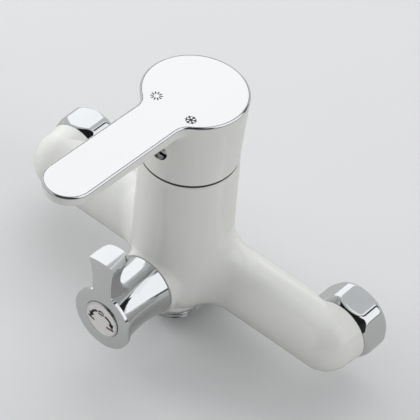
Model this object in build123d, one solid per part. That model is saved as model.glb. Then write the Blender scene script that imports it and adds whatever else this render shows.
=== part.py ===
from build123d import *
import math
import os

# Wall-mounted single-lever bath mixer, in millimetres.
# The origin lies midway between the two inlets, in the plane where the union nuts open.
# +Y points to the wall, +Z up along the tower, and the lever points to -Y.

os.makedirs("parts", exist_ok=True)

# General clearances
loose_gap = 0.3
turning_gap = 0.08
seat_gap = 0.05

# Inlets and union nuts
inlet_spacing = 150.0
nut_across_flats = 30.0
nut_corner_trim = 0.95
nut_length = 14.3
nut_back_bevel = 2.0
nut_front_bevel = 2.9
nut_front_radius = 14.5
nut_back_radius = 14.9
nut_thread_radius = 12.1
nut_thread_length = 7.5
nut_relief_radius = 12.9
nut_shoulder = 1.9
nut_turning_room = 0.8
right_nut_angle = 105.0
left_nut_angle = 70.0
washer_radius = 11.8
washer_bore_radius = 7.6
washer_thickness = 1.8
tail_flange_radius = 12.0
tail_flange = 1.8
tail_stem_radius = 10.3
tail_bore_radius = 7.2
tail_grip = 4.0
tail_hex_across_flats = 12.0
tail_hex_wall = 1.2

# Body casting
arm_setback = 21.6
arm_radius = 13.9
arm_bore_radius = 8.0
arm_bore_web = 6.0
collar_radius = 14.5
tower_setback = 30.0
tower_top_radius = 21.3
belly_radius = 21.9
body_top_z = 63.6
body_top_bevel = 0.5
body_bottom_z = -17.2
flare_radius = 16.0
boss_radius = 14.8
boss_stand = 0.1
boss_blend = 5.0
spout_boss_radius = 14.2
spout_boss_height = 9.0
spout_boss_round = 0.8
shower_boss_radius = 12.0
shower_boss_height = 14.2
shower_boss_round = 8.0

# Cartridge, stacked upwards from the floor of its bore
cartridge_depth = 34.6
cartridge_radius = 17.5
cartridge_wall = 2.3
base_radius = 17.3
base_thickness = 4.5
port_radius = 2.7
port_places = ((6.5, -3.75), (-6.5, -3.75), (0.0, 8.0))
seal_radius = 4.4
seal_bore_radius = 3.1
seal_height = 1.9
peg_radius = 1.9
peg_length = 2.5
peg_places = ((9.9, 9.9), (-9.9, 9.9))
fixed_disc_radius = 15.0
disc_thickness = 3.0
disc_face_gap = 0.1
moving_disc_radius = 11.5
passage_depth = 1.6
passage_centre_radius = 4.5
passage_reach = 9.3
passage_half_angle = 45.0
carrier_height = 5.1
carrier_flat = 9.5
socket_half = 2.5
socket_floor = 0.2
lug_half_width = 4.0
lug_outer_x = 12.5
rotor_radius = 14.9
rotor_height = 11.6
neck_radius = 12.1
neck_height = 6.3
housing_roof = 1.0
housing_neck_height = 4.5
housing_neck_radius = 14.0
pivot_height = 4.1
pin_radius = 1.5
pin_length = 22.0
slot_half_width = 4.3
slot_front = 4.5
slot_rear = 9.7
spindle_width = 8.0
spindle_eye_radius = 4.0
spindle_shank_radius = 1.5
spindle_ball_radius = 2.4
spindle_ball_drop = 6.8
spindle_head_room = 0.5
ring_nut_radius = 18.9
ring_nut_bore_radius = 14.3
ring_nut_height = 8.3
ring_nut_notch_width = 5.0
ring_nut_notch_depth = 2.4
ring_nut_notches = 6
ring_nut_runout = 1.0
trim_ring_inner_radius = 19.2
trim_ring_outer_radius = 20.7
trim_ring_height = 1.0

# Handle
seam_height = 1.4
handle_height = 33.9
handle_bottom_radius = 21.0
handle_top_radius = 22.7
handle_top_slope = 2.4
handle_wall = 2.8
handle_roof = 5.5
handle_edge_bevel = 0.5
lever_half_width = 10.7
lever_reach = 86.5
lever_neck_round = 8.0
lever_tip_thickness = 5.4
lever_root_thickness = 7.0
lever_under_round = 1.6
lever_web_round = 7.0
hub_radius = 8.0
hub_socket_roof = 7.9
grub_height = 15.0
access_hole_radius = 4.7
grub_boss_radius = 3.9
grub_boss_length = 10.2
grub_hole_radius = 2.5
grub_radius = 2.42
grub_length = 13.0
grub_socket_across_flats = 2.5
grub_socket_depth = 2.5

# Outlets under the body
spout_setback = 33.0
spout_thread_radius = 13.2
spout_thread_length = 6.1
spout_stem_radius = 11.0
spout_bore_radius = 8.5
spout_socket_depth = 5.0
shower_setback = 6.0
shower_thread_radius = 10.48
shower_thread_length = 10.8
shower_stem_radius = 9.0
shower_bore_radius = 6.0
shower_socket_depth = 6.0
outlet_seal_thickness = 1.2

# Diverter, along -Y through the front of the body
chamber_radius = 10.0
chamber_depth = 19.9
bonnet_flange_radius = 10.9
bonnet_flange = 1.2
bonnet_hex_across_flats = 17.0
bonnet_stand = 5.1
bonnet_insert = 8.4
stem_radius = 4.0
stem_square = 6.0
stem_stand = 13.1
stem_square_length = 6.5
stem_collar_radius = 5.5
foot_length = 2.0
foot_half_width = 2.4
foot_half_height = 7.2
foot_engagement = 0.8
ring_groove_floor_radius = 2.9
ring_groove_width = 1.3
stem_ring_tube = 0.55
stem_ring_depths = (2.4, 5.9)
selector_radius = 8.8
selector_thickness = 2.4
selector_seat_thickness = 2.1
selector_seal_thickness = 0.8
selector_port_offset = 5.0
selector_port_radius = 2.5
selector_slot_angle = 60.0
channel_radius = 2.8
spout_channel_offset = 6.0
shower_bend_z = -8.0
riser_reach = 11.0
riser_foot_z = 4.0
riser_offset = 1.4
outlet_foot_depth = 11.3
outlet_foot_z = 7.0

# Diverter knob
knob_length = 27.5
knob_front_radius = 15.0
knob_face_thickness = 1.4
knob_shoulder_radius = 14.1
knob_waist_radius = 12.6
knob_waist_offset = 8.8
knob_rear_radius = 14.0
knob_rest_angle = 3.8
knob_cavity_radius = 11.3
knob_cavity_depth = 6.6
knob_recess_depth = 3.0
cap_radius = 8.8
cap_gap = 0.2
cap_stand = 0.6
cap_wall = 1.2
cap_edge_round = 0.4
tab_top_z = 32.8
tab_arch_radius = 30.0
tab_half_width = 7.15
tab_rear_half_width = 6.4
tab_neck_half_width = 5.1
tab_neck_z = 21.5
tab_depth = 11.9
tab_corner_round = 4.5
tab_scoop_radius = 11.2
tab_scoop_offset = 17.0
tab_scoop_z = 23.0
knob_screw_head_radius = 4.0
knob_screw_head = 2.4
knob_screw_radius = 2.0
knob_screw_length = 14.0
knob_screw_slot = 1.0

# Inlets and body, worked out from the sizes above
inlet_x = inlet_spacing / 2
arm_y = -arm_setback
tower_y = -tower_setback
spout_y = -spout_setback
shower_y = -shower_setback
nut_corner_radius = nut_across_flats / math.sqrt(3) - nut_corner_trim
nut_front_y = -nut_length
collar_y = nut_front_y - loose_gap
shoulder_y = nut_front_y + nut_shoulder
tail_front_y = shoulder_y + loose_gap
washer_front_y = tail_front_y + tail_flange
tail_end_y = collar_y - tail_grip
boss_front_y = tower_y - belly_radius - boss_stand

# Cartridge heights
cartridge_bore_radius = cartridge_radius + loose_gap
floor_z = body_top_z - cartridge_depth
base_bottom_z = floor_z + loose_gap
base_top_z = base_bottom_z + base_thickness
fixed_disc_top_z = base_top_z + disc_thickness
moving_disc_z = fixed_disc_top_z + disc_face_gap
carrier_z = moving_disc_z + disc_thickness
carrier_top_z = carrier_z + carrier_height
rotor_z = carrier_top_z + loose_gap
rotor_top_z = rotor_z + rotor_height
neck_top_z = rotor_top_z + neck_height
pivot_z = rotor_z + pivot_height
ball_z = pivot_z - spindle_ball_drop
housing_inner_radius = cartridge_radius - cartridge_wall
housing_shoulder_z = rotor_top_z + turning_gap + housing_roof
housing_top_z = housing_shoulder_z + housing_neck_height
ring_nut_top_z = housing_shoulder_z + ring_nut_height
ring_nut_bore_z = housing_shoulder_z - ring_nut_runout
trim_ring_top_z = body_top_z + trim_ring_height

# Handle places, and the ball-shaped hollow that clears all fixed pieces at every tilt
handle_bottom_z = body_top_z + seam_height
handle_top_z = handle_bottom_z + handle_height
draft_slope = (handle_top_radius - handle_bottom_radius) / handle_height
roof_z = handle_top_z + lever_reach * math.tan(math.radians(handle_top_slope)) + 1
hub_socket_top_z = handle_top_z - hub_socket_roof
spindle_top_z = hub_socket_top_z - spindle_head_room
grub_z = handle_bottom_z + grub_height
grub_boss_y = tower_y - hub_radius - grub_boss_length
lever_tip_y = tower_y - lever_reach
tip_centre_y = lever_tip_y + lever_half_width
fixed_rims = (
    (tower_top_radius, body_top_z - body_top_bevel),
    (tower_top_radius - body_top_bevel, body_top_z),
    (trim_ring_outer_radius, trim_ring_top_z),
    (ring_nut_radius, ring_nut_top_z),
)
handle_dome_radius = max(math.hypot(radius, z - pivot_z) for radius, z in fixed_rims) + loose_gap

# Diverter and knob places along the front axis
chamber_end_y = boss_front_y + chamber_depth
selector_seat_y = chamber_end_y - selector_seal_thickness - selector_seat_thickness
selector_front_y = selector_seat_y - disc_face_gap - selector_thickness
bonnet_front_y = boss_front_y - bonnet_stand
bonnet_rear_y = boss_front_y + bonnet_insert
stem_front_y = boss_front_y - stem_stand
stem_square_start_y = stem_front_y + stem_square_length
stem_collar_rear_y = selector_front_y - foot_length
knob_rear_y = boss_front_y - loose_gap
knob_front_y = knob_rear_y - knob_length
knob_waist_y = knob_rear_y - knob_waist_offset
knob_cavity_end_y = knob_rear_y - knob_cavity_depth
cap_front_y = knob_front_y - cap_stand
knob_recess_y = knob_front_y + knob_recess_depth
knob_screw_head_y = knob_recess_y + knob_screw_head

# Water ways
spout_channel_y = spout_y + spout_channel_offset
shower_bend = (0.0, shower_y, shower_bend_z)
right_riser_foot = (riser_reach, arm_y - riser_offset, riser_foot_z)
left_riser_foot = (-riser_reach, arm_y - riser_offset, riser_foot_z)
outlet_foot = (0.0, boss_front_y + outlet_foot_depth, outlet_foot_z)


def upright(radius, low, high, x=0.0, y=0.0):
    """A round bar along Z."""
    bar = Cylinder(radius, high - low, align=(Align.CENTER, Align.CENTER, Align.MIN))
    return Pos(x, y, low) * bar


def along_y(radius, start, end, x=0.0, z=0.0):
    """A round bar along Y, from start to end."""
    bar = Cylinder(radius, abs(end - start))
    return Pos(x, (start + end) / 2, z) * Rot(90, 0, 0) * bar


def along_x(radius, start, end, y=0.0, z=0.0):
    """A round bar along X, from start to end."""
    bar = Cylinder(radius, abs(end - start))
    return Pos((start + end) / 2, y, z) * Rot(0, 90, 0) * bar


def block(low, high):
    """A box between two corners."""
    size = [b - a for a, b in zip(low, high)]
    middle = [(a + b) / 2 for a, b in zip(low, high)]
    return Pos(*middle) * Box(*size)


def hex_along_y(across_flats, start, end, x=0.0, z=0.0, turn=0.0):
    """A hexagonal bar along Y, with a corner at the given turn from +X towards +Z."""
    plane = Plane(origin=(x, start, z), x_dir=(1, 0, 0), z_dir=(0, -1, 0))
    outline = RegularPolygon(across_flats / 2, 6, major_radius=False, rotation=turn)
    return extrude(plane * outline, amount=start - end)


def spun_about_y(points, x=0.0, z=0.0):
    """A turned shape about an axis along Y, from (radius, y) points."""
    outline = Plane.XY * make_face(Polyline(*points, close=True))
    return Pos(x, 0, z) * revolve(outline, axis=Axis.Y)


def between(radius, start, end):
    """A round bar from one point to another."""
    direction = Vector(*end) - Vector(*start)
    bar = Cylinder(radius, direction.length, align=(Align.CENTER, Align.CENTER, Align.MIN))
    return Plane(origin=start, z_dir=direction) * bar


def save(name, shape):
    export_step(shape, f"parts/{name}.step")


# Body casting: tower, arms, bosses and water ways
def body_outside():
    tower = Cone(
        belly_radius, tower_top_radius, body_top_z, align=(Align.CENTER, Align.CENTER, Align.MIN)
    )
    tower = Pos(0, tower_y, 0) * tower
    shape = tower + Pos(0, tower_y, 0) * Sphere(belly_radius)
    shape += along_x(arm_radius, -inlet_x, inlet_x, arm_y)
    joins = [e for e in shape.edges() if e.geom_type not in (GeomType.CIRCLE, GeomType.LINE)]
    shape = fillet(joins, flare_radius)
    boss = along_y(boss_radius, tower_y, boss_front_y)
    with_boss = shape + boss
    shape = fillet(new_edges(shape, boss, combined=with_boss), boss_blend)
    top_rim = shape.edges().filter_by(GeomType.CIRCLE).sort_by(Axis.Z)[-1]
    shape = chamfer(top_rim, body_top_bevel)
    for x in (-inlet_x, inlet_x):
        shape += Pos(x, arm_y, 0) * Sphere(arm_radius)
        shape += spun_about_y([(0, arm_y), (arm_radius, arm_y), (collar_radius, collar_y), (0, collar_y)], x)
        shape -= along_y(nut_corner_radius + nut_turning_room, collar_y, 0, x)
    spout_boss = upright(spout_boss_radius, body_bottom_z, body_bottom_z + spout_boss_height, 0, spout_y)
    lower_rim = spout_boss.edges().filter_by(GeomType.CIRCLE).sort_by(Axis.Z)[0]
    shape += fillet(lower_rim, spout_boss_round)
    shower_boss = upright(shower_boss_radius, body_bottom_z, body_bottom_z + shower_boss_height, 0, shower_y)
    upper_rim = shower_boss.edges().filter_by(GeomType.CIRCLE).sort_by(Axis.Z)[-1]
    shape += fillet(upper_rim, shower_boss_round)
    below = block(
        (-belly_radius, tower_y - belly_radius, -2 * belly_radius),
        (belly_radius, tower_y + 2 * belly_radius, body_bottom_z),
    )
    return shape - below


def body_water_ways():
    cuts = []
    for side in (-1, 1):
        x = side * inlet_x
        cuts.append(along_x(arm_bore_radius, side * arm_bore_web, x, arm_y))
        cuts.append(along_y(arm_bore_radius, arm_y, tail_end_y, x))
        cuts.append(along_y(tail_stem_radius + seat_gap, tail_end_y, collar_y, x))
    for (dx, dy), foot in zip(port_places, (right_riser_foot, left_riser_foot, outlet_foot)):
        cuts.append(between(port_radius, (dx, tower_y + dy, floor_z), foot))
    cuts.append(along_y(chamber_radius, boss_front_y, chamber_end_y))
    cuts.append(along_y(channel_radius, chamber_end_y, spout_channel_y, 0, -selector_port_offset))
    cuts.append(upright(channel_radius, body_bottom_z, -selector_port_offset, 0, spout_channel_y))
    cuts.append(between(channel_radius, (0, chamber_end_y - 1, selector_port_offset), shower_bend))
    cuts.append(upright(channel_radius, body_bottom_z, shower_bend[2], 0, shower_y))
    return cuts


def make_body():
    shape = body_outside()
    for cut in body_water_ways():
        shape -= cut
    shape -= upright(cartridge_bore_radius, floor_z, body_top_z, 0, tower_y)
    shape -= upright(ring_nut_radius + disc_face_gap, ring_nut_bore_z, body_top_z, 0, tower_y)
    for dx, dy in peg_places:
        shape -= upright(peg_radius + seat_gap, floor_z - peg_length, floor_z, dx, tower_y + dy)
    shape -= upright(spout_stem_radius, body_bottom_z, body_bottom_z + spout_socket_depth, 0, spout_y)
    shape -= upright(shower_stem_radius, body_bottom_z, body_bottom_z + shower_socket_depth, 0, shower_y)
    return shape


# Union nut, washer and tail at each inlet
def make_inlet_nut(x, angle):
    shape = hex_along_y(nut_across_flats, 0, nut_front_y, x, 0, angle)
    envelope = spun_about_y(
        [
            (0, 0),
            (nut_back_radius, 0),
            (nut_corner_radius, -nut_back_bevel),
            (nut_corner_radius, nut_front_y + nut_front_bevel),
            (nut_front_radius, nut_front_y),
            (0, nut_front_y),
        ],
        x,
    )
    shape &= envelope
    shape -= along_y(nut_thread_radius, 0, -nut_thread_length, x)
    shape -= along_y(nut_relief_radius, -nut_thread_length, shoulder_y, x)
    shape -= along_y(tail_stem_radius + loose_gap, shoulder_y, nut_front_y, x)
    return shape


def make_inlet_tail(x):
    shape = along_y(tail_flange_radius, tail_front_y, washer_front_y, x)
    shape += along_y(tail_stem_radius, tail_end_y, tail_front_y, x)
    shape -= along_y(tail_bore_radius, tail_end_y + tail_hex_wall, washer_front_y, x)
    shape -= hex_along_y(tail_hex_across_flats, tail_end_y + tail_hex_wall, tail_end_y, x)
    return shape


def make_inlet_washer(x):
    shape = along_y(washer_radius, washer_front_y, washer_front_y + washer_thickness, x)
    shape -= along_y(washer_bore_radius, washer_front_y, washer_front_y + washer_thickness, x)
    return shape


# Cartridge
def make_cartridge_base():
    shape = upright(base_radius, base_bottom_z, base_top_z, 0, tower_y)
    for dx, dy in port_places:
        y = tower_y + dy
        shape -= upright(port_radius, base_bottom_z, base_top_z, dx, y)
        shape -= upright(seal_radius + seat_gap, base_bottom_z, floor_z + seal_height, dx, y)
    for dx, dy in peg_places:
        shape += upright(peg_radius, floor_z - peg_length + loose_gap, base_bottom_z, dx, tower_y + dy)
    return shape


def make_port_seals():
    seals = []
    for dx, dy in port_places:
        seal = upright(seal_radius, floor_z, floor_z + seal_height, dx, tower_y + dy)
        seal -= upright(seal_bore_radius, floor_z, floor_z + seal_height, dx, tower_y + dy)
        seals.append(seal)
    return Compound(children=seals)


def make_fixed_disc():
    shape = upright(fixed_disc_radius, base_top_z, fixed_disc_top_z, 0, tower_y)
    for dx, dy in port_places:
        shape -= upright(port_radius, base_top_z, fixed_disc_top_z, dx, tower_y + dy)
    return shape


def make_moving_disc():
    """The blind passage joins the outlet to the inlets once the disc slides forward."""
    shape = upright(moving_disc_radius, moving_disc_z, carrier_z, 0, tower_y)
    half = math.radians(passage_half_angle)
    reach = 2 * passage_reach
    fan = make_face(
        Polyline((0, 0), (reach * math.sin(half), reach * math.cos(half)),
                 (-reach * math.sin(half), reach * math.cos(half)), close=True)
    )
    passage = Circle(passage_centre_radius) + (Circle(passage_reach) & fan)
    return shape - extrude(Pos(0, tower_y, moving_disc_z) * passage, amount=passage_depth)


def make_disc_carrier():
    shape = upright(moving_disc_radius, carrier_z, carrier_top_z, 0, tower_y)
    for side in (-1, 1):
        flat_x, edge_x = sorted((side * carrier_flat, side * moving_disc_radius))
        shape -= block(
            (flat_x, tower_y - moving_disc_radius, carrier_z),
            (edge_x, tower_y + moving_disc_radius, carrier_top_z),
        )
    shape -= block(
        (-socket_half, tower_y - socket_half, carrier_z + socket_floor),
        (socket_half, tower_y + socket_half, carrier_top_z),
    )
    return shape


def make_rotor():
    shape = upright(rotor_radius, rotor_z, rotor_top_z, 0, tower_y)
    shape += upright(neck_radius, rotor_top_z, neck_top_z, 0, tower_y)
    for side in (-1, 1):
        inner = side * (carrier_flat + loose_gap)
        outer = side * lug_outer_x
        shape += block(
            (min(inner, outer), tower_y - lug_half_width, carrier_z + loose_gap),
            (max(inner, outer), tower_y + lug_half_width, rotor_z),
        )
    shape -= block(
        (-slot_half_width, tower_y - slot_front, rotor_z),
        (slot_half_width, tower_y + slot_rear, neck_top_z),
    )
    shape -= along_x(pin_radius, -rotor_radius, rotor_radius, tower_y, pivot_z)
    return shape


def make_spindle():
    half = spindle_width / 2
    shape = along_x(spindle_eye_radius, -half, half, tower_y, pivot_z)
    shape += block((-half, tower_y - half, pivot_z), (half, tower_y + half, spindle_top_z))
    shape += upright(spindle_shank_radius, ball_z, pivot_z, 0, tower_y)
    shape += Pos(0, tower_y, ball_z) * Sphere(spindle_ball_radius)
    shape -= along_x(pin_radius + turning_gap, -half, half, tower_y, pivot_z)
    return shape


def make_housing():
    shape = upright(cartridge_radius, base_top_z, housing_shoulder_z, 0, tower_y)
    shape += upright(housing_neck_radius, housing_shoulder_z, housing_top_z, 0, tower_y)
    shape -= upright(housing_inner_radius, base_top_z, rotor_top_z + turning_gap, 0, tower_y)
    shape -= upright(neck_radius + turning_gap, rotor_top_z, housing_top_z, 0, tower_y)
    return shape


def make_cartridge_nut():
    shape = upright(ring_nut_radius, housing_shoulder_z, ring_nut_top_z, 0, tower_y)
    shape -= upright(ring_nut_bore_radius, housing_shoulder_z, ring_nut_top_z, 0, tower_y)
    for i in range(ring_nut_notches):
        notch = block(
            (0, -ring_nut_notch_width / 2, ring_nut_top_z - ring_nut_notch_depth),
            (ring_nut_radius + 1, ring_nut_notch_width / 2, ring_nut_top_z),
        )
        shape -= Pos(0, tower_y, 0) * Rot(0, 0, i * 360 / ring_nut_notches) * notch
    return shape


def make_trim_ring():
    shape = upright(trim_ring_outer_radius, body_top_z, trim_ring_top_z, 0, tower_y)
    return shape - upright(trim_ring_inner_radius, body_top_z, trim_ring_top_z, 0, tower_y)


# Handle
def top_height(y):
    """The height of the sloped top face at a given y."""
    return handle_top_z + math.tan(math.radians(handle_top_slope)) * (tower_y - y)


def lever_outline(grow):
    """The top view of the disc and the bar with a rounded neck, grown by the draft."""
    disc = Pos(0, tower_y) * Circle(handle_top_radius + grow)
    half_width = lever_half_width + grow
    bar = Pos(0, (tower_y + tip_centre_y) / 2) * Rectangle(2 * half_width, tower_y - tip_centre_y)
    outline = disc + bar + Pos(0, tip_centre_y) * Circle(half_width)
    neck = [v for v in outline.vertices() if tip_centre_y + 1 < v.Y < tower_y]
    return fillet(neck, lever_neck_round - grow)


def side_profile(points):
    """A wide slab with the given outline in the side view, from (y, z) points."""
    outline = Plane.YZ * make_face(Polyline(*points, close=True))
    return extrude(outline, amount=2 * handle_top_radius, both=True)


def make_lever():
    """The drafted bar with its lower edges rounded, without the skirt."""
    front_y = lever_tip_y - 1
    height = roof_z - handle_bottom_z
    outline = Pos(0, 0, roof_z) * lever_outline((roof_z - handle_top_z) * draft_slope)
    shape = extrude(outline, amount=-height, taper=math.degrees(math.atan(draft_slope)))
    shape -= side_profile(
        [
            (front_y, handle_bottom_z - 1),
            (front_y, top_height(front_y) - lever_tip_thickness),
            (tower_y, top_height(tower_y) - lever_root_thickness),
            (tower_y, handle_bottom_z - 1),
        ]
    )
    low = []
    for edge in shape.edges():
        middle = edge.center()
        below_top = top_height(middle.Y) - middle.Z
        on_bar = middle.Y < tower_y - handle_top_radius
        if on_bar and lever_tip_thickness - 1 < below_top < lever_root_thickness + 1:
            low.append(edge)
    return fillet(low, lever_under_round)


def make_handle():
    height = roof_z - handle_bottom_z
    skirt = Cone(
        handle_bottom_radius,
        handle_bottom_radius + height * draft_slope,
        height,
        align=(Align.CENTER, Align.CENTER, Align.MIN),
    )
    skirt = Pos(0, tower_y, handle_bottom_z) * skirt
    lever = make_lever()
    shape = lever + skirt
    web = new_edges(lever, skirt, combined=shape)
    web = [e for e in web if abs(e.center().X) < lever_half_width + lever_under_round]
    shape = fillet(web, lever_web_round)
    front_y = lever_tip_y - 1
    back_y = tower_y + 2 * handle_top_radius
    shape -= side_profile(
        [
            (back_y, top_height(back_y)),
            (front_y, top_height(front_y)),
            (front_y, roof_z + 1),
            (back_y, roof_z + 1),
        ]
    )
    top_face = shape.faces().filter_by(GeomType.PLANE).sort_by(SortBy.AREA)[-1]
    shape = chamfer(top_face.outer_wire().edges(), handle_edge_bevel)
    return hollow_handle(shape)


def hollow_handle(shape):
    cavity_top_z = handle_top_z - handle_roof
    cavity = Cone(
        handle_bottom_radius - handle_wall,
        handle_top_radius - handle_wall,
        cavity_top_z - handle_bottom_z,
        align=(Align.CENTER, Align.CENTER, Align.MIN),
    )
    cavity = Pos(0, tower_y, handle_bottom_z) * cavity
    cavity -= upright(hub_radius, handle_bottom_z, cavity_top_z, 0, tower_y)
    cavity -= along_y(grub_boss_radius, tower_y, grub_boss_y, 0, grub_z)
    shape -= cavity
    shape -= Pos(0, tower_y, pivot_z) * Sphere(handle_dome_radius)
    socket_half_width = spindle_width / 2 + seat_gap
    shape -= block(
        (-socket_half_width, tower_y - socket_half_width, pivot_z),
        (socket_half_width, tower_y + socket_half_width, hub_socket_top_z),
    )
    shape -= along_y(grub_hole_radius, tower_y, tower_y - handle_top_radius, 0, grub_z)
    shape -= along_y(access_hole_radius, grub_boss_y, tower_y - handle_top_radius, 0, grub_z)
    return shape


def make_grub():
    rear = tower_y - spindle_width / 2 - seat_gap
    shape = along_y(grub_radius, rear, rear - grub_length, 0, grub_z)
    shape -= hex_along_y(
        grub_socket_across_flats, rear - grub_length + grub_socket_depth, rear - grub_length, 0, grub_z
    )
    return shape


# Outlet nipples under the body
def make_nipple(y, thread_radius, thread_length, stem_radius, bore_radius, socket_depth):
    thread_end = body_bottom_z - thread_length
    top = body_bottom_z + socket_depth - outlet_seal_thickness
    shape = upright(stem_radius - seat_gap, body_bottom_z, top, 0, y)
    shape += upright(thread_radius, thread_end, body_bottom_z, 0, y)
    return shape - upright(bore_radius, thread_end, top, 0, y)


def make_outlet_seal(y, stem_radius, bore_radius, socket_depth):
    top = body_bottom_z + socket_depth
    shape = upright(stem_radius - seat_gap, top - outlet_seal_thickness, top, 0, y)
    return shape - upright(bore_radius, top - outlet_seal_thickness, top, 0, y)


# Diverter
def make_bonnet():
    seat_y = boss_front_y
    flange_y = seat_y - bonnet_flange
    shape = along_y(chamber_radius - seat_gap, bonnet_rear_y, seat_y)
    shape += along_y(bonnet_flange_radius, seat_y, flange_y)
    shape += hex_along_y(bonnet_hex_across_flats, flange_y, bonnet_front_y)
    return shape - along_y(stem_radius + turning_gap, bonnet_rear_y, bonnet_front_y)


def make_diverter_stem():
    shape = along_y(stem_radius, stem_collar_rear_y, stem_square_start_y)
    shape += along_y(stem_collar_radius, stem_collar_rear_y, bonnet_rear_y + disc_face_gap)
    half = stem_square / 2
    shape += block((-half, stem_front_y, -half), (half, stem_square_start_y, half))
    shape += block(
        (-foot_half_width, stem_collar_rear_y, -foot_half_height),
        (foot_half_width, selector_front_y + foot_engagement, foot_half_height),
    )
    for depth in stem_ring_depths:
        y = boss_front_y + depth
        groove = along_y(stem_radius + 1, y - ring_groove_width / 2, y + ring_groove_width / 2)
        groove -= along_y(ring_groove_floor_radius, y - ring_groove_width / 2, y + ring_groove_width / 2)
        shape -= groove
    screw_end_y = knob_screw_head_y + knob_screw_length
    shape -= along_y(knob_screw_radius + seat_gap, stem_front_y, screw_end_y + loose_gap)
    return shape


def make_stem_rings():
    rings = []
    for depth in stem_ring_depths:
        ring = Torus(ring_groove_floor_radius + stem_ring_tube, stem_ring_tube)
        rings.append(Pos(0, boss_front_y + depth, 0) * Rot(90, 0, 0) * ring)
    return Compound(children=rings)


def make_selector():
    """The turning disc, with one curved opening towards -X at rest and a groove for the foot."""
    rear = selector_front_y + selector_thickness
    shape = along_y(selector_radius, selector_front_y, rear)
    opening = along_y(selector_port_offset + selector_port_radius, selector_front_y, rear)
    opening -= along_y(selector_port_offset - selector_port_radius, selector_front_y, rear)
    reach = 2 * selector_radius
    half = math.radians(selector_slot_angle / 2)
    wedge_outline = Polyline(
        (0, 0),
        (-reach * math.cos(half), reach * math.sin(half)),
        (-reach * math.cos(half), -reach * math.sin(half)),
        close=True,
    )
    wedge = extrude(Plane.XZ * make_face(wedge_outline), amount=-2 * chamber_end_y)
    shape -= opening & wedge
    half_width = foot_half_width + seat_gap
    half_height = foot_half_height + seat_gap
    return shape - block(
        (-half_width, selector_front_y, -half_height),
        (half_width, selector_front_y + foot_engagement, half_height),
    )


def make_selector_seat():
    rear = selector_seat_y + selector_seat_thickness
    shape = along_y(chamber_radius - seat_gap, selector_seat_y, rear)
    for z in (-selector_port_offset, selector_port_offset):
        shape -= along_y(selector_port_radius, selector_seat_y, rear, 0, z)
    return shape


def make_selector_seal():
    shape = along_y(chamber_radius - seat_gap, chamber_end_y, chamber_end_y - selector_seal_thickness)
    for z in (-selector_port_offset, selector_port_offset):
        shape -= along_y(selector_port_radius, chamber_end_y, chamber_end_y - selector_seal_thickness, 0, z)
    return shape


# Diverter knob
def knob_turned_shape():
    face_rear_y = knob_front_y + knob_face_thickness
    with_axis = [
        Line((0, knob_front_y), (knob_front_radius, knob_front_y)),
        Line((knob_front_radius, knob_front_y), (knob_front_radius, face_rear_y)),
        Line((knob_front_radius, face_rear_y), (knob_shoulder_radius, face_rear_y)),
        ThreePointArc(
            (knob_shoulder_radius, face_rear_y),
            (knob_waist_radius, knob_waist_y),
            (knob_rear_radius, knob_rear_y),
        ),
        Line((knob_rear_radius, knob_rear_y), (0, knob_rear_y)),
        Line((0, knob_rear_y), (0, knob_front_y)),
    ]
    return revolve(make_face(Wire(with_axis)), axis=Axis.Y)


def knob_tab():
    """The thumb tab, wider and arched at the top, rounded behind and hollowed by a scoop."""
    low_z = knob_waist_radius / 2
    neck_z = tab_neck_z
    middle_half = (tab_half_width + 2 * tab_neck_half_width) / 3
    middle_z = (neck_z + tab_top_z) / 2
    right = ThreePointArc(
        (tab_neck_half_width, neck_z), (middle_half, middle_z), (tab_half_width, tab_top_z)
    )
    left = ThreePointArc(
        (-tab_half_width, tab_top_z), (-middle_half, middle_z), (-tab_neck_half_width, neck_z)
    )
    outline = [
        Line((-tab_neck_half_width, low_z), (tab_neck_half_width, low_z)),
        Line((tab_neck_half_width, low_z), (tab_neck_half_width, neck_z)),
        right,
        Line((tab_half_width, tab_top_z), (-tab_half_width, tab_top_z)),
        left,
        Line((-tab_neck_half_width, neck_z), (-tab_neck_half_width, low_z)),
    ]
    rear_y = knob_front_y + tab_depth
    front_plane = Plane(origin=(0, knob_front_y, 0), x_dir=(1, 0, 0), z_dir=(0, -1, 0))
    shape = extrude(front_plane * make_face(Wire(outline)), amount=-tab_depth)
    plan = make_face(
        Polyline(
            (-tab_half_width, knob_front_y),
            (tab_half_width, knob_front_y),
            (tab_rear_half_width, rear_y),
            (-tab_rear_half_width, rear_y),
            close=True,
        )
    )
    plan = fillet(plan.vertices().sort_by(Axis.Y)[-2:], tab_corner_round)
    shape &= extrude(plan, amount=tab_top_z)
    shape &= along_y(tab_arch_radius, knob_front_y, rear_y, 0, tab_top_z - tab_arch_radius)
    half_width = 2 * tab_half_width
    scoop_y = knob_front_y + tab_scoop_offset
    return shape - along_x(tab_scoop_radius, -half_width, half_width, scoop_y, tab_scoop_z)


def make_knob():
    shape = knob_turned_shape() + knob_tab()
    shape -= along_y(knob_cavity_radius, knob_rear_y, knob_cavity_end_y)
    shape -= along_y(cap_radius + cap_gap, knob_front_y, knob_recess_y)
    shape -= along_y(knob_screw_head_radius + loose_gap, knob_recess_y, knob_screw_head_y)
    shape -= along_y(knob_screw_radius + seat_gap, knob_screw_head_y, stem_front_y - loose_gap)
    half = stem_square / 2 + seat_gap
    shape -= block((-half, stem_front_y - loose_gap, -half), (half, knob_cavity_end_y, half))
    return shape


def make_knob_cap():
    shape = along_y(cap_radius, cap_front_y, knob_recess_y)
    front_rim = shape.edges().filter_by(GeomType.CIRCLE).sort_by(Axis.Y)[0]
    shape = fillet(front_rim, cap_edge_round)
    return shape - along_y(cap_radius - cap_wall, cap_front_y + cap_wall, knob_recess_y)


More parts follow.
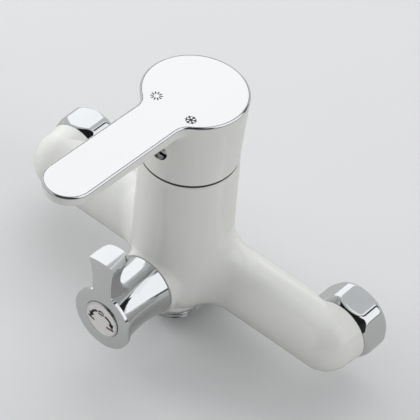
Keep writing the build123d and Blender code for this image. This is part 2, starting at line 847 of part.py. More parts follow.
def make_knob_screw():
    shape = along_y(knob_screw_head_radius, knob_recess_y, knob_screw_head_y)
    shape += along_y(knob_screw_radius, knob_screw_head_y, knob_screw_head_y + knob_screw_length)
    slot_half = knob_screw_slot / 2
    shape -= block(
        (-knob_screw_head_radius, knob_recess_y, -slot_half),
        (knob_screw_head_radius, knob_recess_y + knob_screw_slot, slot_half),
    )
    return shape


save("body", make_body())
for side_name, x, angle in (("left", -inlet_x, left_nut_angle), ("right", inlet_x, right_nut_angle)):
    save(f"inlet_nut_{side_name}", make_inlet_nut(x, angle))
    save(f"inlet_tail_{side_name}", make_inlet_tail(x))
    save(f"inlet_washer_{side_name}", make_inlet_washer(x))

save("cartridge_base", make_cartridge_base())
save("port_seals", make_port_seals())
save("fixed_disc", make_fixed_disc())
save("moving_disc", make_moving_disc())
save("disc_carrier", make_disc_carrier())
save("cartridge_rotor", make_rotor())
save("spindle_pin", along_x(pin_radius, -pin_length / 2, pin_length / 2, tower_y, pivot_z))
save("lever_spindle", make_spindle())
save("cartridge_housing", make_housing())
save("cartridge_nut", make_cartridge_nut())
save("trim_ring", make_trim_ring())

save("handle", make_handle())
save("handle_grub_screw", make_grub())

spout_stem = (spout_stem_radius, spout_bore_radius, spout_socket_depth)
shower_stem = (shower_stem_radius, shower_bore_radius, shower_socket_depth)
save("spout_nipple", make_nipple(spout_y, spout_thread_radius, spout_thread_length, *spout_stem))
save("spout_seal", make_outlet_seal(spout_y, *spout_stem))
save("shower_nipple", make_nipple(shower_y, shower_thread_radius, shower_thread_length, *shower_stem))
save("shower_seal", make_outlet_seal(shower_y, *shower_stem))

save("diverter_bonnet", make_bonnet())
save("diverter_seat_disc", make_selector_seat())
save("diverter_seat_seal", make_selector_seal())
turning_pieces = (
    ("diverter_stem", make_diverter_stem()),
    ("stem_rings", make_stem_rings()),
    ("diverter_selector_disc", make_selector()),
    ("diverter_knob", make_knob()),
    ("knob_index_cap", make_knob_cap()),
    ("knob_screw", make_knob_screw()),
)
for name, piece in turning_pieces:
    save(name, Rot(0, -knob_rest_angle, 0) * piece)
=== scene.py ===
import math

import bmesh
import bpy
from mathutils import Matrix, Vector


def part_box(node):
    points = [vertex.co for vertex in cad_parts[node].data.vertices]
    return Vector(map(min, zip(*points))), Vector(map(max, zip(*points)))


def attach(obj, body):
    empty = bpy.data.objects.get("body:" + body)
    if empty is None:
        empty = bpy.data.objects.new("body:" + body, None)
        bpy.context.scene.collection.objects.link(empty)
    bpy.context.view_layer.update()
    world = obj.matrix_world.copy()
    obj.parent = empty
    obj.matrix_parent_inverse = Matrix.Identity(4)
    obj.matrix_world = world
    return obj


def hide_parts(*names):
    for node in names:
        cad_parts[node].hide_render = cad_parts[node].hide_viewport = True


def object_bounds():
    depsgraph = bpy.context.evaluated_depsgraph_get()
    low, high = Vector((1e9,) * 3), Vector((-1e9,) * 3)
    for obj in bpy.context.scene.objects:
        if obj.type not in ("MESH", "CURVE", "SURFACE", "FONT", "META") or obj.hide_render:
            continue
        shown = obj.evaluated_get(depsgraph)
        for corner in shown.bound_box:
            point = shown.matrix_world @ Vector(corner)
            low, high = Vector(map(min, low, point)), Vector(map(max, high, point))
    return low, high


# Wall-mounted single-lever bath mixer: its finishes, trim, marks, threads and studio. Lengths are in metres.
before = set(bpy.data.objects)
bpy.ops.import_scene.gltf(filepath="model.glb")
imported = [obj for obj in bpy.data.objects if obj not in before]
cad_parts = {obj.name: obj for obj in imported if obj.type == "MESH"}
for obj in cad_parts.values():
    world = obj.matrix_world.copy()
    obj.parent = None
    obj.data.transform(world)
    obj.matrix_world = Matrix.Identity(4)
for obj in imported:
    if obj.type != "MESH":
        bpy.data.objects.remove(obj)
cad_low, cad_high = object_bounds()

mm = 0.001


# Finishes
mottle_detail = 3.0
grain_detail = 2.0


def noise(tree, scale, detail, stretch=(1.0, 1.0, 1.0)):
    """A noise pattern in the piece's own metres."""
    place = tree.nodes.new("ShaderNodeTexCoord")
    mapping = tree.nodes.new("ShaderNodeMapping")
    mapping.inputs["Scale"].default_value = stretch
    pattern = tree.nodes.new("ShaderNodeTexNoise")
    pattern.inputs["Scale"].default_value = scale
    pattern.inputs["Detail"].default_value = detail
    tree.links.new(place.outputs["Object"], mapping.inputs["Vector"])
    tree.links.new(mapping.outputs["Vector"], pattern.inputs["Vector"])
    return pattern.outputs["Fac"]


def make_finish(
    name, dark, light, roughness, mottle, grain, relief, metallic=0.0, ior=1.5, stretch=(1.0, 1.0, 1.0)
):
    """A finish whose colour mottles from dark to light, and whose roughness and relief follow a grain."""
    material = bpy.data.materials.new(name)
    material.use_nodes = True
    tree = material.node_tree
    shader = tree.nodes["Principled BSDF"]
    shader.inputs["Metallic"].default_value = metallic
    shader.inputs["IOR"].default_value = ior
    colour = tree.nodes.new("ShaderNodeMix")
    colour.data_type = "RGBA"
    colour.inputs["A"].default_value = (*dark, 1.0)
    colour.inputs["B"].default_value = (*light, 1.0)
    tree.links.new(noise(tree, mottle, mottle_detail), colour.inputs["Factor"])
    tree.links.new(colour.outputs["Result"], shader.inputs["Base Color"])
    fine = noise(tree, grain, grain_detail, stretch)
    spread = tree.nodes.new("ShaderNodeMapRange")
    spread.inputs["To Min"].default_value = roughness[0]
    spread.inputs["To Max"].default_value = roughness[1]
    tree.links.new(fine, spread.inputs["Value"])
    tree.links.new(spread.outputs["Result"], shader.inputs["Roughness"])
    bump = tree.nodes.new("ShaderNodeBump")
    bump.inputs["Distance"].default_value = relief
    tree.links.new(fine, bump.inputs["Height"])
    tree.links.new(bump.outputs["Normal"], shader.inputs["Normal"])
    return material


finishes = {
    "white_enamel": make_finish(
        "gloss_white_enamel", dark=(0.74, 0.75, 0.73), light=(0.77, 0.78, 0.76),
        roughness=(0.05, 0.11), mottle=40.0, grain=420.0, relief=0.004 * mm
    ),
    "chrome": make_finish(
        "polished_chrome", dark=(0.66, 0.68, 0.70), light=(0.72, 0.74, 0.76),
        roughness=(0.03, 0.07), mottle=90.0, grain=260.0, relief=0.003 * mm, metallic=1.0
    ),
    "index_plastic": make_finish(
        "satin_grey_cap", dark=(0.76, 0.745, 0.74), light=(0.82, 0.805, 0.80),
        roughness=(0.22, 0.32), mottle=300.0, grain=2200.0, relief=0.006 * mm
    ),
    # This black also serves the thin strips that stand in for the shade in narrow grooves and gaps (painted
    # shade).
    "dark_plastic": make_finish(
        "black_moulded_plastic", dark=(0.018, 0.018, 0.019), light=(0.030, 0.030, 0.031),
        roughness=(0.35, 0.5), mottle=200.0, grain=1500.0, relief=0.01 * mm
    ),
    "brass": make_finish(
        "machined_brass", dark=(0.72, 0.52, 0.24), light=(0.82, 0.62, 0.32),
        roughness=(0.16, 0.30), mottle=120.0, grain=400.0, relief=0.006 * mm, metallic=1.0,
        stretch=(1.0, 6.0, 6.0)
    ),
    "cartridge_plastic": make_finish(
        "grey_moulded_plastic", dark=(0.60, 0.60, 0.58), light=(0.68, 0.68, 0.66),
        roughness=(0.35, 0.5), mottle=150.0, grain=1800.0, relief=0.01 * mm
    ),
    "ceramic": make_finish(
        "lapped_ceramic", dark=(0.80, 0.78, 0.73), light=(0.86, 0.84, 0.80),
        roughness=(0.15, 0.25), mottle=200.0, grain=2500.0, relief=0.003 * mm, ior=1.76
    ),
    "rubber": make_finish(
        "black_rubber", dark=(0.012, 0.012, 0.012), light=(0.025, 0.025, 0.025),
        roughness=(0.6, 0.8), mottle=250.0, grain=1600.0, relief=0.02 * mm
    ),
    "stainless_steel": make_finish(
        "turned_stainless_steel", dark=(0.52, 0.52, 0.51), light=(0.60, 0.60, 0.59),
        roughness=(0.18, 0.30), mottle=150.0, grain=900.0, relief=0.006 * mm, metallic=1.0
    ),
}
print_finish = make_finish(
    "dark_grey_print", dark=(0.010, 0.010, 0.011), light=(0.022, 0.022, 0.024),
    roughness=(0.3, 0.45), mottle=400.0, grain=2500.0, relief=0.004 * mm
)

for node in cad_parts.values():
    slot_name = node.material_slots[0].material.name
    node.material_slots[0].material = finishes[slot_name]

# Upward share of the surface's direction at which the painted highlight on the handle's top starts and is
# full: a whiter colour on the upward faces stands in for the light that falls on the flat top
highlight_start = 0.93
highlight_full = 0.99


def painted_top_highlight(finish, name, colour):
    """A copy of a finish whose flat top, in the piece's own frame, is painted whiter as a highlight where
    the light falls on it.
    """
    copy = finish.copy()
    copy.name = name
    tree = copy.node_tree
    base_colour = tree.nodes["Principled BSDF"].inputs["Base Color"]
    below = base_colour.links[0].from_socket
    place = tree.nodes.new("ShaderNodeTexCoord")
    parts = tree.nodes.new("ShaderNodeSeparateXYZ")
    tree.links.new(place.outputs["Normal"], parts.inputs["Vector"])
    lit_share = tree.nodes.new("ShaderNodeMapRange")
    lit_share.inputs["From Min"].default_value = highlight_start
    lit_share.inputs["From Max"].default_value = highlight_full
    tree.links.new(parts.outputs["Z"], lit_share.inputs["Value"])
    mix = tree.nodes.new("ShaderNodeMix")
    mix.data_type = "RGBA"
    tree.links.new(lit_share.outputs["Result"], mix.inputs["Factor"])
    tree.links.new(below, mix.inputs["A"])
    mix.inputs["B"].default_value = (*colour, 1.0)
    tree.links.new(mix.outputs["Result"], base_colour)
    return copy


# The handle's flat top gets a painted highlight: a whiter colour that stands in for the light on it.
handle_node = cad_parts["handle"]
handle_node.material_slots[0].material = painted_top_highlight(
    finishes["white_enamel"], "gloss_white_handle_painted_highlight", (0.93, 0.935, 0.95)
)


# Mesh helpers
def new_piece(name, points, faces, slot_name, body, finish=None, smooth=True):
    """A mesh that rides a body, in the slot's finish unless another is given."""
    mesh = bpy.data.meshes.new(name)
    mesh.from_pydata([tuple(point) for point in points], [], faces)
    mesh.materials.append(finish or finishes[slot_name])
    shell = bmesh.new()
    shell.from_mesh(mesh)
    bmesh.ops.recalc_face_normals(shell, faces=shell.faces)
    for face in shell.faces:
        face.smooth = smooth
    shell.to_mesh(mesh)
    shell.free()
    piece = bpy.data.objects.new(name, mesh)
    bpy.context.scene.collection.objects.link(piece)
    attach(piece, body)
    return piece


def skin(rings):
    """Points and quads that join closed rings of equal length, the last ring to the first."""
    count = len(rings[0])
    points = [point for ring in rings for point in ring]
    faces = []
    for i in range(len(rings)):
        a = i * count
        b = ((i + 1) % len(rings)) * count
        for j in range(count):
            k = (j + 1) % count
            faces.append((a + j, b + j, b + k, a + k))
    return points, faces


def full_turn(count):
    """Evenly spaced angles round one turn, in radians."""
    return [2 * math.pi * i / count for i in range(count)]


def polar(centre, radius, angle):
    """The flat point at a radius and an angle in radians from a centre."""
    return centre[0] + radius * math.cos(angle), centre[1] + radius * math.sin(angle)


# Handle outline, in the plane of the sloped top
tower_y = -30.0 * mm
disc_radius = 22.7 * mm
bar_half_width = 10.7 * mm
tip_centre_y = -105.8 * mm
neck_radius = 8.0 * mm
handle_top_z = 98.9 * mm
top_slope = math.tan(math.radians(2.4))
draft_run = 1.7 * mm
draft_height = 33.9 * mm
draft_slope = draft_run / draft_height
disc_steps = 96
neck_steps = 12
tip_steps = 48
fitting_rounds = 3

# Polished trim over the bevel round the top edge of the handle, with a thin black strip on each side that is
# painted shade, standing in for the shaded groove at each joint. Each band spans a start and an end,
# measured over the edge from the upper end of the bevel.
bevel_reach = 0.53 * mm
bevel_width = bevel_reach * math.sqrt(2)
trim_span = (-0.14 * mm, bevel_width + 0.16 * mm)
upper_shade_span = (-0.32 * mm, -0.13 * mm)
lower_shade_span = (bevel_width + 0.15 * mm, bevel_width + 0.30 * mm)
trim_bulge = 0.07 * mm
shade_bulge = 0.01 * mm
trim_lift = 0.015 * mm
trim_sink = 0.12 * mm
trim_steps = 12

# How far past each end of the bevel the direction of the trim goes on turning, from up to outward
trim_wrap = 0.35 * mm


def arc(centre, radius, start, end, steps, inward=False):
    """Points of an arc with their outward directions, from start to end in degrees."""
    path = []
    for i in range(steps + 1):
        angle = math.radians(start + (end - start) * i / steps)
        direction = Vector((math.cos(angle), math.sin(angle)))
        point = Vector(centre) + direction * radius
        path.append((point, -direction if inward else direction))
    return path


def handle_outline():
    """The top view of disc, necks, bar and tip at the height of the tower axis, with outward directions."""
    neck_x = bar_half_width + neck_radius
    reach = disc_radius + neck_radius
    neck_y = tower_y - math.sqrt(reach ** 2 - neck_x ** 2)
    rest = 180.0 - math.degrees(math.atan2(tower_y - neck_y, -neck_x))
    path = arc((0, tower_y), disc_radius, -rest, 180.0 + rest, disc_steps)
    path += arc((-neck_x, neck_y), neck_radius, rest, 0.0, neck_steps, inward=True)
    path += arc((0, tip_centre_y), bar_half_width, -180.0, 0.0, tip_steps)
    path += arc((neck_x, neck_y), neck_radius, 180.0, 180.0 - rest, neck_steps, inward=True)
    return path


def on_handle_top(x, y, lift):
    """The point of the handle's sloped top above x and y, raised by lift."""
    return Vector((x, y, handle_top_z + top_slope * (tower_y - y) + lift))


def edge_ring(point, direction, section):
    """The given section, as (offset, rise) from the top edge, at one point of the outline."""
    ring = []
    for offset, rise in section:
        spot = point
        for _ in range(fitting_rounds):
            height = top_slope * (tower_y - spot.y)
            spot = point + direction * (height * draft_slope + offset)
        ring.append(on_handle_top(spot.x, spot.y, rise))
    return ring


def edge_spot(along, stand):
    """The (offset, rise) of a point that stands off the edge, along from the upper end of the bevel."""
    on_slant = min(max(along, 0.0), bevel_width) * math.sqrt(0.5)
    below = max(along - bevel_width, 0.0)
    turn = (along + trim_wrap) / (bevel_width + 2 * trim_wrap) * math.pi / 2
    return (
        -bevel_reach + min(along, 0.0) + on_slant - below * draft_slope + stand * math.sin(turn),
        -on_slant - below + stand * math.cos(turn)
    )


def edge_section(start, end, bulge):
    """A bead over the edge from start to end, closed by one point sunk behind its middle."""
    section = []
    for i in range(trim_steps + 1):
        share = i / trim_steps
        stand = trim_lift + bulge * math.sin(math.pi * share)
        section.append(edge_spot(start + (end - start) * share, stand))
    section.append(edge_spot((start + end) / 2, -trim_sink))
    return section


# The two black bands are painted shade: strips placed where the groove beside the trim would only be shaded.
for band_name, span, bulge, band_slot in (
    ("handle_edge_trim", trim_span, trim_bulge, "chrome"),
    ("handle_upper_groove_painted_shade", upper_shade_span, shade_bulge, "dark_plastic"),
    ("handle_lower_groove_painted_shade", lower_shade_span, shade_bulge, "dark_plastic"),
):
    band_section = edge_section(*span, bulge)
    rings = [edge_ring(point, direction, band_section) for point, direction in handle_outline()]
    new_piece(band_name, *skin(rings), band_slot, "handle")


# Bare metal wall of the round hole in front of the grub screw, taken from the handle's own faces
hole_z = 80.0 * mm
hole_radius = 4.7 * mm
hole_rear_y = -40.0 * mm
wall_lift = 0.02 * mm


def on_hole_wall(point):
    """Whether a point of the handle lies on the wall of the screw's hole."""
    off_wall = abs(math.hypot(point.x, point.z - hole_z) - hole_radius)
    return point.y < hole_rear_y and off_wall < wall_lift


handle_points = [handle_node.matrix_world @ vertex.co for vertex in handle_node.data.vertices]
wall_faces = [
    tuple(face.vertices) for face in handle_node.data.polygons
    if all(on_hole_wall(handle_points[i]) for i in face.vertices)
]
wall_indices = sorted({i for face in wall_faces for i in face})
wall_places = {i: place for place, i in enumerate(wall_indices)}
wall_points = []
for i in wall_indices:
    outward = Vector((handle_points[i].x, 0, handle_points[i].z - hole_z)).normalized()
    wall_points.append(handle_points[i] - outward * wall_lift)
wall_faces = [tuple(wall_places[i] for i in face) for face in wall_faces]
new_piece("screw_hole_wall", wall_points, wall_faces, "chrome", "handle")


# Printed marks
mark_height = 0.03 * mm
curve_steps = 10
dot_steps = 12

# Shares of an arrow head's size: its point ahead of the stroke, its half width, its back corners
head_ahead = 0.7
head_half_width = 0.6
head_back = 0.35


def ribbon(path, width):
    """The outline of a stroke of even width with pointed ends, along a path of flat points."""
    half = width / 2
    left = []
    right = []
    for i, point in enumerate(path):
        before = path[max(i - 1, 0)]
        after = path[min(i + 1, len(path) - 1)]
        along = (Vector(after) - Vector(before)).normalized()
        side = Vector((-along.y, along.x)) * half
        left.append(Vector(point) + side)
        right.append(Vector(point) - side)
    end_along = (Vector(path[-1]) - Vector(path[-2])).normalized() * half
    start_along = (Vector(path[0]) - Vector(path[1])).normalized() * half
    return left + [Vector(path[-1]) + end_along] + right[::-1] + [Vector(path[0]) + start_along]


def curve(start, middle, end):
    """A bent path from start to end, pulled towards middle."""
    path = []
    for i in range(curve_steps + 1):
        t = i / curve_steps
        path.append(tuple(
            (1 - t) ** 2 * a + 2 * t * (1 - t) * b + t ** 2 * c for a, b, c in zip(start, middle, end)
        ))
    return path


def dot(centre, radius):
    """The outline of a small round dot."""
    return [polar(centre, radius, angle) for angle in full_turn(dot_steps)]


def arrow(path, width, head):
    """A stroke and the pointed head at its end."""
    tip = Vector(path[-1])
    along = (tip - Vector(path[-3])).normalized() * head
    side = Vector((-along.y, along.x)) * head_half_width
    back = tip - along * head_back
    return [ribbon(path, width), [tip + along * head_ahead, back + side, back - side]]


def print_marks(name, outlines, place, body):
    """Thin raised plates with the given outlines, set on a surface by place(u, v, lift)."""
    points = []
    faces = []
    for outline in outlines:
        base = len(points)
        count = len(outline)
        for lift in (-mark_height, mark_height):
            points += [place(u, v, lift) for u, v in outline]
        faces.append(tuple(base + count + i for i in range(count)))
        for i in range(count):
            j = (i + 1) % count
            faces.append((base + i, base + j, base + count + j, base + count + i))
    new_piece(name, points, faces, "dark_plastic", body, finish=print_finish, smooth=False)


# Hot: a ring of short rays
hot_centre = (-8.85 * mm, -43.95 * mm)
hot_rays = 10
hot_inner_radius = 1.35 * mm
hot_outer_radius = 2.45 * mm
hot_stroke = 0.55 * mm
hot_mark = []
for angle in full_turn(hot_rays):
    ray = [polar(hot_centre, hot_inner_radius, angle), polar(hot_centre, hot_outer_radius, angle)]
    hot_mark.append(ribbon(ray, hot_stroke))
print_marks("hot_mark", hot_mark, on_handle_top, "handle")

# Cold: a snow crystal with forked spokes and a dot between each two
cold_centre = (10.3 * mm, -44.7 * mm)
cold_spokes = 6
spoke_start = 0.2 * mm
spoke_end = 2.4 * mm
spoke_stroke = 0.5 * mm
fork_radius = 1.45 * mm
branch_length = 0.75 * mm
branch_turn = math.radians(48.0)
branch_stroke = 0.42 * mm
dot_place = 2.15 * mm
dot_radius = 0.25 * mm
half_step = math.pi / cold_spokes
cold_mark = []
for angle in full_turn(cold_spokes):
    spoke = [polar(cold_centre, radius, angle + half_step) for radius in (spoke_start, spoke_end)]
    cold_mark.append(ribbon(spoke, spoke_stroke))
    fork = polar(cold_centre, fork_radius, angle + half_step)
    for side in (-1, 1):
        branch = polar(fork, branch_length, angle + half_step + branch_turn * side)
        cold_mark.append(ribbon([fork, branch], branch_stroke))
    cold_mark.append(dot(polar(cold_centre, dot_place, angle + 2 * half_step), dot_radius))
print_marks("cold_mark", cold_mark, on_handle_top, "handle")


# Cap of the diverter knob: polished rim, a black ring round it that stands in for the shade in the gap at
# its edge (painted shade), arrows and signs
cap_radius = 8.8 * mm
cap_columns = 96
cap_front_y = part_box("knob_index_cap")[0].y
knob_front_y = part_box("diverter_knob")[0].y
knob_rest_turn = Matrix.Rotation(math.radians(-3.8), 4, "Y")

# Sections as (radius past the cap's, depth behind the front), in millimetres
rim_section = (
    (-0.75, 0.02), (-0.60, -0.10), (-0.35, -0.14), (-0.12, -0.06), (0.02, 0.20), (0.03, 0.55), (-0.30, 0.50)
)
cap_gap_shade_section = ((0.02, 0.04), (0.24, -0.02), (0.24, 0.30), (0.02, 0.30))


def knob_ring(name, section, front_y, slot_name):
    """A ring turned on the knob's axis from a section round the cap."""
    rings = []
    for angle in full_turn(cap_columns):
        ring = []
        for past, depth in section:
            x, z = polar((0, 0), cap_radius + past * mm, angle)
            ring.append(Vector((x, front_y + depth * mm, z)))
        rings.append(ring)
    new_piece(name, *skin(rings), slot_name, "knob")


knob_ring("cap_rim", rim_section, cap_front_y, "chrome")
# The black ring round the cap is painted shade, standing in for the shaded gap between the cap and the
# knob's face.
knob_ring("cap_gap_painted_shade", cap_gap_shade_section, knob_front_y, "dark_plastic")


def on_cap(x, z, lift):
    """The point of the cap's front at x and z, raised by lift, turned as the knob rests."""
    return knob_rest_turn @ Vector((x, cap_front_y - lift, z))


def in_mm(*points):
    """Flat points given in millimetres."""
    return [(x * mm, y * mm) for x, y in points]


arrow_stroke = 1.2 * mm
arrow_head = 2.6 * mm
bar_stroke = 1.0 * mm
sign_stroke = 0.8 * mm
cap_marks = [
    *arrow(curve(*in_mm((-2.4, 3.7), (-4.9, 3.0), (-5.5, 0.1))), arrow_stroke, arrow_head),
    *arrow(curve(*in_mm((2.4, 3.0), (5.2, 2.4), (5.8, -0.4))), arrow_stroke, arrow_head),
    ribbon(in_mm((-6.9, -1.3), (-4.1, -2.5)), bar_stroke),
    ribbon(in_mm((3.2, -2.6), (6.8, -2.5)), bar_stroke),
    ribbon(curve(*in_mm((-1.3, 3.9), (0.0, 5.3), (1.3, 3.9))), sign_stroke),
    ribbon(in_mm((-1.3, 2.9), (1.3, 2.9)), sign_stroke),
]
print_marks("cap_marks", cap_marks, on_cap, "knob")


# Threads
thread_pitch = 1.814 * mm
thread_depth = 1.16 * mm
rows_per_pitch = 12


def groove(turn, along, length, fade_in, fade_out):
    """How deep the thread is at a turn (0 to 1) and a distance along it, fading at both ends."""
    wave = 0.5 - 0.5 * math.cos(2 * math.pi * (along / thread_pitch - turn))
    fade = min(1.0, along / fade_in, (length - along) / fade_out)
    return thread_depth * wave * max(fade, 0.0)


# Outlet nipples: male thread below, plain stem in the body above
body_floor_z = -17.2 * mm
nipple_columns = 72
bore_chamfer = 0.4 * mm
nose_length = 1.2 * mm
nose_drop = 1.3 * mm
nipple_fade_in = 0.1 * mm
nipple_fade_out = 1.0 * mm


def threaded_nipple(name, node, crest, stem, bore):
    """A nipple with the given radii of its thread, stem and bore, in the place of its CAD node."""
    low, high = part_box(node)
    y = (low.y + high.y) / 2
    length = body_floor_z - low.z

    def level(radius, z):
        return [Vector((*polar((0, y), radius, angle), z)) for angle in full_turn(nipple_columns)]

    rings = [level(bore, low.z + bore_chamfer), level(bore + bore_chamfer, low.z)]
    rings.append(level(crest - nose_drop, low.z))
    rows = round(length / thread_pitch * rows_per_pitch)
    for row in range(rows + 1):
        along = length * row / rows
        nose = crest - max(0.0, nose_length - along)
        ring = []
        for i, angle in enumerate(full_turn(nipple_columns)):
            depth = groove(i / nipple_columns, along, length, nipple_fade_in, nipple_fade_out)
            x, ring_y = polar((0, y), min(crest - depth, nose), angle)
            ring.append(Vector((x, ring_y, low.z + along)))
        rings.append(ring)
    rings += [level(stem, body_floor_z), level(stem, high.z), level(bore, high.z)]
    piece = new_piece(name, *skin(rings), "chrome", "root")
    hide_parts(node)


threaded_nipple(
    "spout_nipple_threaded", "spout_nipple", crest=13.2 * mm, stem=10.95 * mm, bore=8.5 * mm
)
threaded_nipple(
    "shower_nipple_threaded", "shower_nipple", crest=10.48 * mm, stem=8.95 * mm, bore=6.0 * mm
)


# Union nuts: hexagon with turned bevels and softened edges outside, cut thread inside
inlet_x = 75.0 * mm
nut_bore = 12.1 * mm
nut_thread_length = 7.5 * mm
nut_thread_fade = 0.6 * mm
nut_relief_radius = 12.9 * mm
nut_shoulder = 1.9 * mm
nut_stem_hole_radius = 10.6 * mm
nut_side_degrees = 60.0
nut_half_flats = 15.0 * mm
nut_corner_cut = 0.95 * mm
nut_corner_radius = nut_half_flats * 2 / math.sqrt(3) - nut_corner_cut
nut_back_radius = 14.9 * mm
nut_back_bevel = 2.0 * mm
nut_front_radius = 14.5 * mm
nut_front_bevel = 2.9 * mm
nut_edge_sharpness = 70
nut_columns = 288
nut_rows = 56
crisp_edge = math.radians(35.0)


def nut_radius(angle, along, length, corner_angle):
    """How far the nut's softened outside reaches at an angle and a distance from its open end."""
    off_middle = math.degrees(angle - corner_angle) % nut_side_degrees - nut_side_degrees / 2
    limits = (
        nut_half_flats / math.cos(math.radians(off_middle)),
        nut_corner_radius,
        nut_back_radius + (nut_corner_radius - nut_back_radius) * along / nut_back_bevel,
        nut_front_radius + (nut_corner_radius - nut_front_radius) * (length - along) / nut_front_bevel,
    )
    smallest = min(limits)
    spread = sum((smallest / limit) ** nut_edge_sharpness for limit in limits)
    return smallest * spread ** (-1 / nut_edge_sharpness)


def threaded_nut(name, node, x, corner_angle, body):
    """A union nut on the axis at x, with a corner at the given angle, in the place of its CAD node."""
    length = -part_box(node)[0].y
    angles = full_turn(nut_columns)

    def level(along, radii):
        ring = []
        for angle, radius in zip(angles, radii):
            ring_x, z = polar((x, 0), radius, angle)
            ring.append(Vector((ring_x, -along, z)))
        return ring

    rings = []
    for row in range(nut_rows + 1):
        along = length * row / nut_rows
        rings.append(level(along, [nut_radius(angle, along, length, corner_angle) for angle in angles]))
    shoulder = length - nut_shoulder
    for along, radius in (
        (length, nut_stem_hole_radius), (shoulder, nut_stem_hole_radius),
        (shoulder, nut_relief_radius), (nut_thread_length, nut_relief_radius)
    ):
        rings.append(level(along, [radius] * nut_columns))
    thread_rows = round(nut_thread_length / thread_pitch * rows_per_pitch)
    for row in range(thread_rows + 1):
        along = nut_thread_length * (1 - row / thread_rows)
        rings.append(level(along, [
            nut_bore + groove(i / nut_columns, along, nut_thread_length, nut_thread_fade, nut_thread_fade)
            for i in range(nut_columns)
        ]))
    piece = new_piece(name, *skin(rings), "chrome", body)
    piece.data.set_sharp_from_angle(angle=crisp_edge)
    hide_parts(node)


left_corner_angle = math.radians(70.0)
right_corner_angle = math.radians(105.0)
threaded_nut("inlet_nut_left_threaded", "inlet_nut_left", -inlet_x, left_corner_angle, "nut_left")
threaded_nut("inlet_nut_right_threaded", "inlet_nut_right", inlet_x, right_corner_angle, "nut_right")


# Floor: lighter where the camera sees it than where it lights or shows in the object
floor_gap = 0.4 * mm
floor_half_width = 4.0
floor_z = cad_low.z - floor_gap
floor_corners = [
    (x * floor_half_width, y * floor_half_width, floor_z) for x, y in ((-1, -1), (1, -1), (1, 1), (-1, 1))
]
floor_mesh = bpy.data.meshes.new("floor")
floor_mesh.from_pydata(floor_corners, [], [(0, 1, 2, 3)])
floor = bpy.data.objects.new("floor", floor_mesh)
bpy.context.scene.collection.objects.link(floor)
floor_finish = make_finish(
    "floor_card", dark=(0.555, 0.55, 0.535), light=(0.575, 0.57, 0.555),
    roughness=(0.7, 0.9), mottle=3.0, grain=60.0, relief=0.01 * mm
)
floor_tree = floor_finish.node_tree
floor_colour = floor_tree.nodes["Principled BSDF"].inputs["Base Color"]
bounce_colour = floor_colour.links[0].from_socket
seen_colour = floor_tree.nodes.new("ShaderNodeMix")
seen_colour.data_type = "RGBA"
seen_colour.inputs["B"].default_value = (0.715, 0.725, 0.735, 1.0)
floor_path = floor_tree.nodes.new("ShaderNodeLightPath")
floor_tree.links.new(floor_path.outputs["Is Camera Ray"], seen_colour.inputs["Factor"])
floor_tree.links.new(bounce_colour, seen_colour.inputs["A"])
floor_tree.links.new(seen_colour.outputs["Result"], floor_colour)
floor_mesh.materials.append(floor_finish)

# Lamps: a large soft one behind and above, a smaller one on each side, none of them mirrored
lamp_distance = 1.6
lamp_target = Vector((0, -0.04, 0.03))


def area_light(name, direction, size, power):
    """A square soft light that looks at the object from a direction."""
    data = bpy.data.lights.new(name, "AREA")
    data.shape = "SQUARE"
    data.size = size
    data.energy = power
    light = bpy.data.objects.new(name, data)
    towards = Vector(direction).normalized()
    light.location = lamp_target + towards * lamp_distance
    light.rotation_euler = towards.to_track_quat("Z", "Y").to_euler()
    light.visible_glossy = False
    bpy.context.scene.collection.objects.link(light)


area_light("key_light", (-0.38, 0.77, 0.52), size=2.0, power=18.0)
area_light("right_fill", (0.9, 0.1, 0.35), size=1.0, power=6.0)
area_light("left_fill", (-0.9, -0.25, 0.35), size=1.0, power=13.5)

# What polished surfaces see round them: azimuth from the front towards the right, elevation, half
# width, half height and lean to the left, all in degrees, then the level
panels = (
    ("dark_side", 37.0, 45.0, 38.0, 38.0, 0.0, 0.015),
    ("dark_corner", 62.0, 8.0, 14.0, 16.0, 0.0, 0.03),
    ("bright_wall", 122.0, 37.0, 24.0, 30.0, 0.0, 1.2),
    ("dark_skirting", 122.0, 2.5, 30.0, 3.5, 0.0, 0.12),
    ("bright_ceiling", 150.0, 55.0, 12.0, 13.0, 0.0, 1.1),
    ("dark_frame", 158.0, 23.0, 9.0, 15.0, 0.0, 0.02),
    ("dark_strip", 158.0, 50.0, 3.8, 12.0, 0.0, 0.02),
    ("left_softbox", -127.0, 27.0, 21.0, 31.0, 35.0, 1.25),
)
panel_edge = 0.06


def linked(tree, kind, operation, *values):
    """A maths node fed with the given numbers, vectors or sockets, and its result."""
    node = tree.nodes.new(kind)
    node.operation = operation
    for socket, value in zip(node.inputs, values):
        if hasattr(value, "is_linked"):
            tree.links.new(value, socket)
        else:
            socket.default_value = value
    return node.outputs["Value"]


def mixed(tree, factor, a, b):
    """A plain mix of two numbers or sockets by a factor socket."""
    mix = tree.nodes.new("ShaderNodeMix")
    tree.links.new(factor, mix.inputs["Factor"])
    for name, value in (("A", a), ("B", b)):
        if isinstance(value, float):
            mix.inputs[name].default_value = value
        else:
            tree.links.new(value, mix.inputs[name])
    return mix.outputs["Result"]


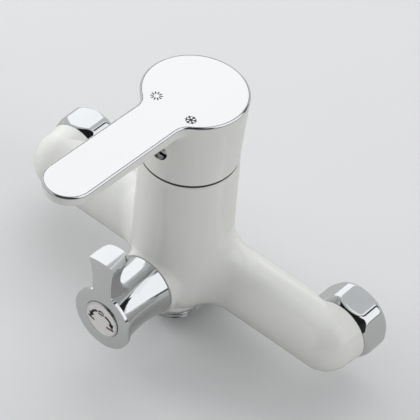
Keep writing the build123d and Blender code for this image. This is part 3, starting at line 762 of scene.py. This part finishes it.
def inside_panel(tree, direction, azimuth, elevation, half_width, half_height, lean):
    """1 inside a rectangular panel of the surroundings, 0 outside, with a soft edge."""
    sideways = Matrix.Rotation(math.radians(azimuth), 3, "Z")
    turned = sideways @ Matrix.Rotation(-math.radians(elevation), 3, "X")
    outward = turned @ Vector((0, -1, 0))
    across = turned @ Matrix.Rotation(math.radians(lean), 3, "Y") @ Vector((1, 0, 0))
    up = across.cross(-outward)
    shares = []
    for axis, half_angle in ((across, half_width), (up, half_height)):
        reach = axis / math.sin(math.radians(half_angle))
        along = linked(tree, "ShaderNodeVectorMath", "DOT_PRODUCT", direction, reach)
        shares.append(linked(tree, "ShaderNodeMath", "ABSOLUTE", along))
    widest = linked(tree, "ShaderNodeMath", "MAXIMUM", *shares)
    ahead = linked(tree, "ShaderNodeVectorMath", "DOT_PRODUCT", direction, outward)
    in_front = linked(tree, "ShaderNodeMath", "GREATER_THAN", ahead, 0.0)
    fade = tree.nodes.new("ShaderNodeMapRange")
    fade.inputs["From Min"].default_value = 1.0 + panel_edge
    fade.inputs["From Max"].default_value = 1.0 - panel_edge
    tree.links.new(widest, fade.inputs["Value"])
    return linked(tree, "ShaderNodeMath", "MULTIPLY", fade.outputs["Result"], in_front)


def make_world(lighting, mirrored, seen):
    """A pale room of even light, seen at its own level; polished surfaces also see the panels."""
    world = bpy.data.worlds.new("studio")
    world.use_nodes = True
    tree = world.node_tree
    background = tree.nodes["Background"]
    background.inputs["Color"].default_value = (1.0, 1.0, 1.0, 1.0)
    place = tree.nodes.new("ShaderNodeTexCoord")
    for _, *shape, panel_level in panels:
        inside = inside_panel(tree, place.outputs["Generated"], *shape)
        mirrored = mixed(tree, inside, mirrored, panel_level)
    path = tree.nodes.new("ShaderNodeLightPath")
    behind = mixed(tree, path.outputs["Is Glossy Ray"], lighting, mirrored)
    level = mixed(tree, path.outputs["Is Camera Ray"], behind, seen)
    tree.links.new(level, background.inputs["Strength"])
    return world


bpy.context.scene.world = make_world(lighting=0.49, mirrored=0.64, seen=0.72)

# Camera at the photograph's angle
azimuth = math.radians(36.78)
elevation = math.radians(45.51)
roll = math.radians(5.80)
camera_distance = 1.23669
camera_target = Vector((0.02164, -0.041, 0.05313))
back = Vector((
    math.sin(azimuth) * math.cos(elevation), -math.cos(azimuth) * math.cos(elevation), math.sin(elevation)
))
level_right = Vector((math.cos(azimuth), math.sin(azimuth), 0))
level_up = back.cross(level_right)
camera_right = level_right * math.cos(roll) + level_up * math.sin(roll)
camera_up = level_up * math.cos(roll) - level_right * math.sin(roll)
camera_turn = Matrix((camera_right, camera_up, back)).transposed().to_4x4()
camera_data = bpy.data.cameras.new("camera")
camera_data.sensor_width = 36.0
camera_data.lens = 257.14
camera_data.clip_start = 0.05
camera_data.clip_end = 20.0
camera = bpy.data.objects.new("camera", camera_data)
camera.matrix_world = Matrix.Translation(camera_target + back * camera_distance) @ camera_turn
bpy.context.scene.collection.objects.link(camera)
bpy.context.scene.camera = camera

bpy.context.scene.view_settings.view_transform = "Standard"
